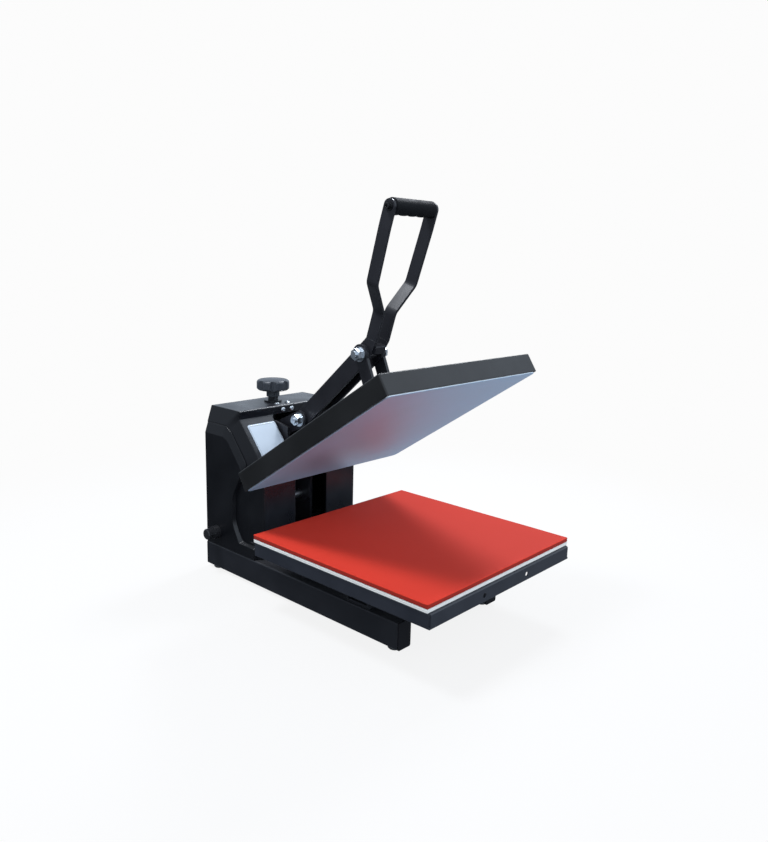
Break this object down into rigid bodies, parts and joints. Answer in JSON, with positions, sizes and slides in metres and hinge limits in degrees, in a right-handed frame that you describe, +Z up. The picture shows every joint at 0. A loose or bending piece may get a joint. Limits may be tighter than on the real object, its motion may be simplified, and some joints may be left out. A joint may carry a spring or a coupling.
{
  "type": "flat heat press",
  "caption": "Clamshell heat press: a hinged heated platen on a toggle lever above a padded square lower platen, with a housing behind.",
  "frame": {"origin": "on the bench, under the middle of the press's width and depth", "axes": "+Z up, -Y towards the operator, +X to the operator's right"},
  "size_m": [0.38, 0.6042, 0.6898],
  "materials": {
    "black_paint": "satin powder coat",
    "zinc": "zinc plated",
    "chrome": "bright",
    "aluminium": "non-stick coated",
    "silicone": "matt",
    "felt": "white felt",
    "insulation": "ceramic wool",
    "rubber": "matt",
    "black_plastic": "fine grain",
    "window": "smoked",
    "button": "smooth",
    "rocker": "smooth"
  },
  "bodies": {
    "frame": {"base_rail_left": "black_paint", "base_rail_right": "black_paint", "rail_end_caps": "black_plastic", "rubber_feet": "rubber", "base_plate": "zinc", "cross_beam": "black_paint", "beam_spacers": "black_paint", "support_posts": "zinc", "support_bolts": "zinc", "lower_platen_tray": "black_paint", "felt_underlay": "felt", "silicone_pad": "silicone", "housing_cover": "black_paint", "side_shell_left": "black_plastic", "side_shell_right": "black_plastic", "side_panel_left": "black_plastic", "side_panel_right": "black_plastic", "rear_cover": "black_paint", "rear_cover_screws": "zinc", "frame_plate_left": "black_paint", "frame_plate_right": "black_paint", "thrust_bridge": "black_paint", "hinge_axle": "zinc", "spring_anchor_rod": "zinc", "balance_springs": "zinc", "knob_boss": "zinc", "cover_screws": "chrome", "fuse_holder": "black_plastic", "power_inlet": "black_plastic", "switch_frame": "black_plastic", "controller_bezel": "black_plastic", "controller_window": "window", "relay_module": "black_plastic"},
    "upper_platen": {"platen_cover": "black_paint", "heating_plate": "aluminium", "heating_element": "zinc", "insulation_blanket": "insulation", "platen_bracket_left": "black_paint", "platen_bracket_right": "black_paint", "platen_bolts": "zinc"},
    "links": {"link_left": "black_paint", "link_right": "black_paint", "elbow_bolts": "chrome"},
    "carriage": {"pressure_carriage": "black_paint", "lever_pivot_bolt": "chrome"},
    "lever": {"lever_channel": "black_paint", "lever_sleeves": "zinc", "handle_cross_block": "black_paint", "handle_bar_left": "black_paint", "handle_bar_right": "black_paint", "handle_grip": "rubber", "grip_rod": "zinc"},
    "knob": {"pressure_knob": "black_plastic", "pressure_spindle": "zinc"},
    "rocker": {"power_rocker": "rocker"},
    "button_1": {"controller_button_1": "button"},
    "button_2": {"controller_button_2": "button"},
    "button_3": {"controller_button_3": "button"},
    "button_4": {"controller_button_4": "button"}
  },
  "joints": [
    {"name": "platen_hinge", "type": "hinge", "parent": "frame", "child": "upper_platen", "pos_m": [0, 0.20542, 0.137], "axis": [1, 0, 0], "range_deg": [0, 33.25], "stiffness_Nm_per_rad": 20, "springref_deg": -100.27, "deforming": ["balance_springs"]},
    {"name": "link_pivot", "type": "hinge", "parent": "upper_platen", "child": "links", "pos_m": [0, -0.03377, 0.35644], "axis": [1, 0, 0], "range_deg": [-64.5, 0]},
    {"name": "pressure_slide", "type": "slide", "parent": "frame", "child": "carriage", "axis": [0, 0, 1], "range_m": [-0.0035, 0.0035]},
    {"name": "lever_pivot", "type": "hinge", "parent": "carriage", "child": "lever", "pos_m": [0, 0.15362, 0.3003], "axis": [1, 0, 0], "range_deg": [0, 58.43]},
    {"name": "knob_turn", "type": "hinge", "parent": "frame", "child": "knob", "pos_m": [0, 0.25692, 0.3175], "axis": [0, 0, 1], "range_deg": [-720, 720]},
    {"name": "rocker_tilt", "type": "hinge", "parent": "frame", "child": "rocker", "pos_m": [0.016, 0.29492, 0.092], "axis": [1, 0, 0], "range_deg": [0, 20]},
    {"name": "button_1_press", "type": "slide", "parent": "frame", "child": "button_1", "axis": [0, 0.7518, -0.6594], "range_m": [0, 0.0008], "stiffness_N_per_m": 1500, "springref_m": -0.0005},
    {"name": "button_2_press", "type": "slide", "parent": "frame", "child": "button_2", "axis": [0, 0.7518, -0.6594], "range_m": [0, 0.0008], "stiffness_N_per_m": 1500, "springref_m": -0.0005},
    {"name": "button_3_press", "type": "slide", "parent": "frame", "child": "button_3", "axis": [0, 0.7518, -0.6594], "range_m": [0, 0.0008], "stiffness_N_per_m": 1500, "springref_m": -0.0005},
    {"name": "button_4_press", "type": "slide", "parent": "frame", "child": "button_4", "axis": [0, 0.7518, -0.6594], "range_m": [0, 0.0008], "stiffness_N_per_m": 1500, "springref_m": -0.0005}
  ],
  "couplings": [
    {"joint": "lever_pivot", "follows": "platen_hinge", "ratio": 1.7558},
    {"joint": "link_pivot", "follows": "platen_hinge", "ratio": -1.9384},
    {"joint": "knob_turn", "follows": "pressure_slide", "rad_per_m": 3590.4}
  ]
}
